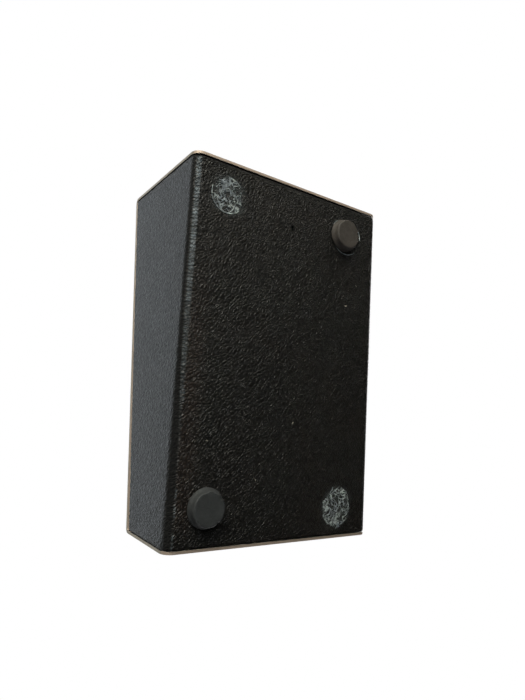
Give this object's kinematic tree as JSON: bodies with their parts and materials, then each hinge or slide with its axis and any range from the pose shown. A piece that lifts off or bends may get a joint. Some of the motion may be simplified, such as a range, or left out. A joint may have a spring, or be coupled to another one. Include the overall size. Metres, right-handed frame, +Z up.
{
  "type": "direct injection box",
  "caption": "Wedge-shaped direct injection box with a vinyl-covered folded cover, phone-jack input and thru, XLR output, ground-lift and pad slide switches.",
  "frame": {"origin": "on the resting plane under the feet, midway between the outermost points of the box in X and Y", "axes": "+Z up, +Y from the low jack end to the tall output end, +X to the right seen from the jack end"},
  "size_m": [0.0832, 0.1322, 0.0565],
  "materials": {
    "cover_steel": "dark primer on the inside of the folded sheet",
    "vinyl": "black leather-grain vinyl, satin, stress-whitened along one fold",
    "chassis_aluminium": "brushed, clear, bare at the cut edges",
    "foot_rubber_slate": "dusty slate-grey rubber",
    "foot_rubber_brown": "scuffed brown-grey rubber",
    "adhesive": "dried adhesive, pale and patchy",
    "jack_plastic": "moulded black nylon",
    "nickel": "nickel plate",
    "zinc_steel": "bright zinc plate",
    "contact_brass": "phosphor bronze",
    "silver_pins": "silver plate",
    "screw_steel": "zinc-plated steel",
    "phenolic": "brown phenolic paper laminate",
    "slider_plastic": "black nylon with a ribbed grip",
    "board_laminate": "green solder mask",
    "core_steel": "stacked silicon-steel laminations",
    "bobbin_nylon": "natural nylon",
    "winding_tape": "amber winding tape",
    "resistor_body": "lacquered carbon-film bodies on tinned leads",
    "capacitor_case": "dipped film capacitor",
    "wire_green": "PVC insulation",
    "wire_grey": "PVC insulation",
    "wire_blue": "PVC insulation",
    "wire_yellow": "PVC insulation"
  },
  "bodies": {
    "case": {"cover": "cover_steel", "cover_skin": "vinyl", "chassis": "chassis_aluminium", "foot_front_right": "foot_rubber_slate", "foot_rear_left": "foot_rubber_brown", "foot_adhesive": "adhesive", "input_jack_body": "jack_plastic", "input_jack_bushing": "nickel", "input_jack_washer": "zinc_steel", "input_jack_nut": "nickel", "input_jack_contacts": "contact_brass", "thru_jack_body": "jack_plastic", "thru_jack_bushing": "nickel", "thru_jack_washer": "zinc_steel", "thru_jack_nut": "nickel", "thru_jack_contacts": "contact_brass", "xlr_shell": "nickel", "xlr_insert": "jack_plastic", "xlr_pins": "silver_pins", "xlr_screws": "screw_steel", "xlr_nuts": "zinc_steel", "lift_switch_frame": "zinc_steel", "lift_switch_base": "phenolic", "lift_terminals": "silver_pins", "pad_switch_frame": "zinc_steel", "pad_switch_base": "phenolic", "pad_terminals": "silver_pins", "switch_screws": "screw_steel", "circuit_board": "board_laminate", "board_bracket": "zinc_steel", "board_screws": "screw_steel", "transformer_core": "core_steel", "transformer_bobbin": "bobbin_nylon", "transformer_winding": "winding_tape", "transformer_strap": "zinc_steel", "transformer_screws": "screw_steel", "resistors": "resistor_body", "capacitor": "capacitor_case", "ground_lug": "silver_pins", "ground_wire": "wire_green", "xlr_wires": "wire_grey", "lift_wires": "wire_blue", "pad_wires": "wire_yellow", "cover_brackets": "zinc_steel", "cover_screws": "screw_steel"},
    "input_tip": {"input_tip_spring": "contact_brass"},
    "thru_tip": {"thru_tip_spring": "contact_brass"},
    "lift_slide_body": {"lift_slider": "slider_plastic", "lift_bridge": "contact_brass"},
    "pad_slide_body": {"pad_slider": "slider_plastic", "pad_bridge": "contact_brass"}
  },
  "joints": [
    {"name": "input_tip_flex", "type": "hinge", "parent": "case", "child": "input_tip", "pos_m": [-0.018, -0.0534, 0.0239], "axis": [1, 0, 0], "range_deg": [0, 6], "stiffness_Nm_per_rad": 0.02},
    {"name": "thru_tip_flex", "type": "hinge", "parent": "case", "child": "thru_tip", "pos_m": [0.018, -0.0534, 0.0239], "axis": [1, 0, 0], "range_deg": [0, 6], "stiffness_Nm_per_rad": 0.02},
    {"name": "ground_lift_slide", "type": "slide", "parent": "case", "child": "lift_slide_body", "axis": [1, 0, 0], "range_m": [0, 0.004]},
    {"name": "pad_slide", "type": "slide", "parent": "case", "child": "pad_slide_body", "axis": [1, 0, 0], "range_m": [-0.003, 0.003]}
  ]
}
